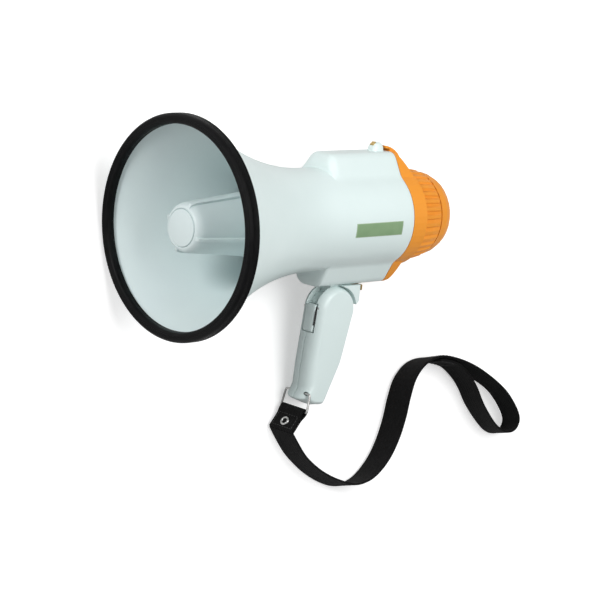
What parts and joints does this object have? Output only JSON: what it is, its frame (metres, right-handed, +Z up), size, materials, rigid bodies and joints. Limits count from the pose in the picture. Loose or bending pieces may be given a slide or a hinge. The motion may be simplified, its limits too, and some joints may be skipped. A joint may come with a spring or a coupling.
{
  "type": "handheld megaphone",
  "caption": "White flared megaphone with a rubber-rimmed bell, inner reflector, orange ribbed rear end, folding trigger handle and a webbing wrist strap on a wire bail, lying on its side.",
  "frame": {"origin": "floor point below the centre of the megaphone's bounding box, the free strap left out", "axes": "+Z up from the floor it lies on, +Y from the mouth towards the rear end along the floor, +X across towards the handle"},
  "size_m": [0.2688, 0.3287, 0.154],
  "materials": {
    "white_plastic": "moulded, satin gloss, slightly cool white",
    "orange_plastic": "moulded, satin gloss",
    "black_rubber": "matt, grooved",
    "black_plastic": "moulded, matt",
    "black_webbing": "woven webbing",
    "steel": "plated",
    "brass": "plain",
    "ferrite": "sintered, matt",
    "diaphragm_film": "formed film",
    "green_board": "lacquered board",
    "cell_jacket": "dark metal jacket"
  },
  "bodies": {
    "housing": {"horn_body": "white_plastic", "rim_bumper": "black_rubber", "reflector_tube": "white_plastic", "reflector_cap": "white_plastic", "throat_tube": "black_plastic", "driver_front_plate": "steel", "driver_diaphragm": "diaphragm_film", "driver_magnet": "ferrite", "driver_yoke": "steel", "amplifier_board": "green_board", "battery_tray_top": "black_plastic", "battery_tray_bottom": "black_plastic", "front_contact_top": "steel", "front_contact_bottom": "steel", "cell_top_1": "cell_jacket", "cell_top_2": "cell_jacket", "cell_bottom_1": "cell_jacket", "cell_bottom_2": "cell_jacket", "handle_bracket": "white_plastic", "handle_pivot_pin": "steel"},
    "handle": {"handle_left_shell": "white_plastic", "handle_right_shell": "white_plastic", "trigger_switch": "black_plastic", "trigger_pin": "steel", "strap_band": "black_webbing"},
    "trigger": {"trigger": "white_plastic"},
    "fold_button": {"fold_lock_button": "brass"},
    "bail": {"strap_bail": "steel", "strap_end": "black_webbing", "strap_eyelet": "steel"},
    "rear_cover": {"rear_cover": "orange_plastic", "latch_pin": "steel", "microphone_cap": "orange_plastic", "microphone_boot": "black_rubber", "microphone": "steel", "volume_potentiometer": "black_plastic", "rear_contact_top": "steel", "rear_contact_bottom": "steel"},
    "volume_ring": {"volume_ring": "orange_plastic"},
    "cover_latch": {"cover_latch": "orange_plastic"}
  },
  "joints": [
    {"name": "handle_fold", "type": "hinge", "parent": "housing", "child": "handle", "pos_m": [0.0341, 0.02917, 0.02961], "axis": [-0.2845, -0.1857, -0.9405], "range_deg": [0, 48]},
    {"name": "trigger_pull", "type": "hinge", "parent": "handle", "child": "trigger", "pos_m": [0.03161, 0.01391, 0.03337], "axis": [0.2845, 0.1857, 0.9405], "range_deg": [0, 5], "stiffness_Nm_per_rad": 0.3, "springref_deg": -1.15},
    {"name": "fold_button_push", "type": "slide", "parent": "housing", "child": "fold_button", "axis": [0, -0.9811, 0.1937], "range_m": [0, 0.0025], "stiffness_N_per_m": 400, "springref_m": -0.0005},
    {"name": "bail_swing", "type": "hinge", "parent": "handle", "child": "bail", "pos_m": [0.09105, 0.00382, 0.01738], "axis": [0.2845, 0.1857, 0.9405], "range_deg": [-45, 25]},
    {"name": "rear_cover_off", "type": "slide", "parent": "housing", "child": "rear_cover", "axis": [0, 0.9811, -0.1937], "range_m": [0, 0.03]},
    {"name": "volume_turn", "type": "hinge", "parent": "rear_cover", "child": "volume_ring", "pos_m": [-0.02994, 0.09063, 0.03685], "axis": [0, 0.9811, -0.1937], "range_deg": [0, 270]},
    {"name": "latch_press", "type": "hinge", "parent": "rear_cover", "child": "cover_latch", "pos_m": [-0.07116, 0.08329, 0.05077], "axis": [0.2845, 0.1857, 0.9405], "range_deg": [0, 7], "stiffness_Nm_per_rad": 0.05, "springref_deg": -1.15}
  ]
}
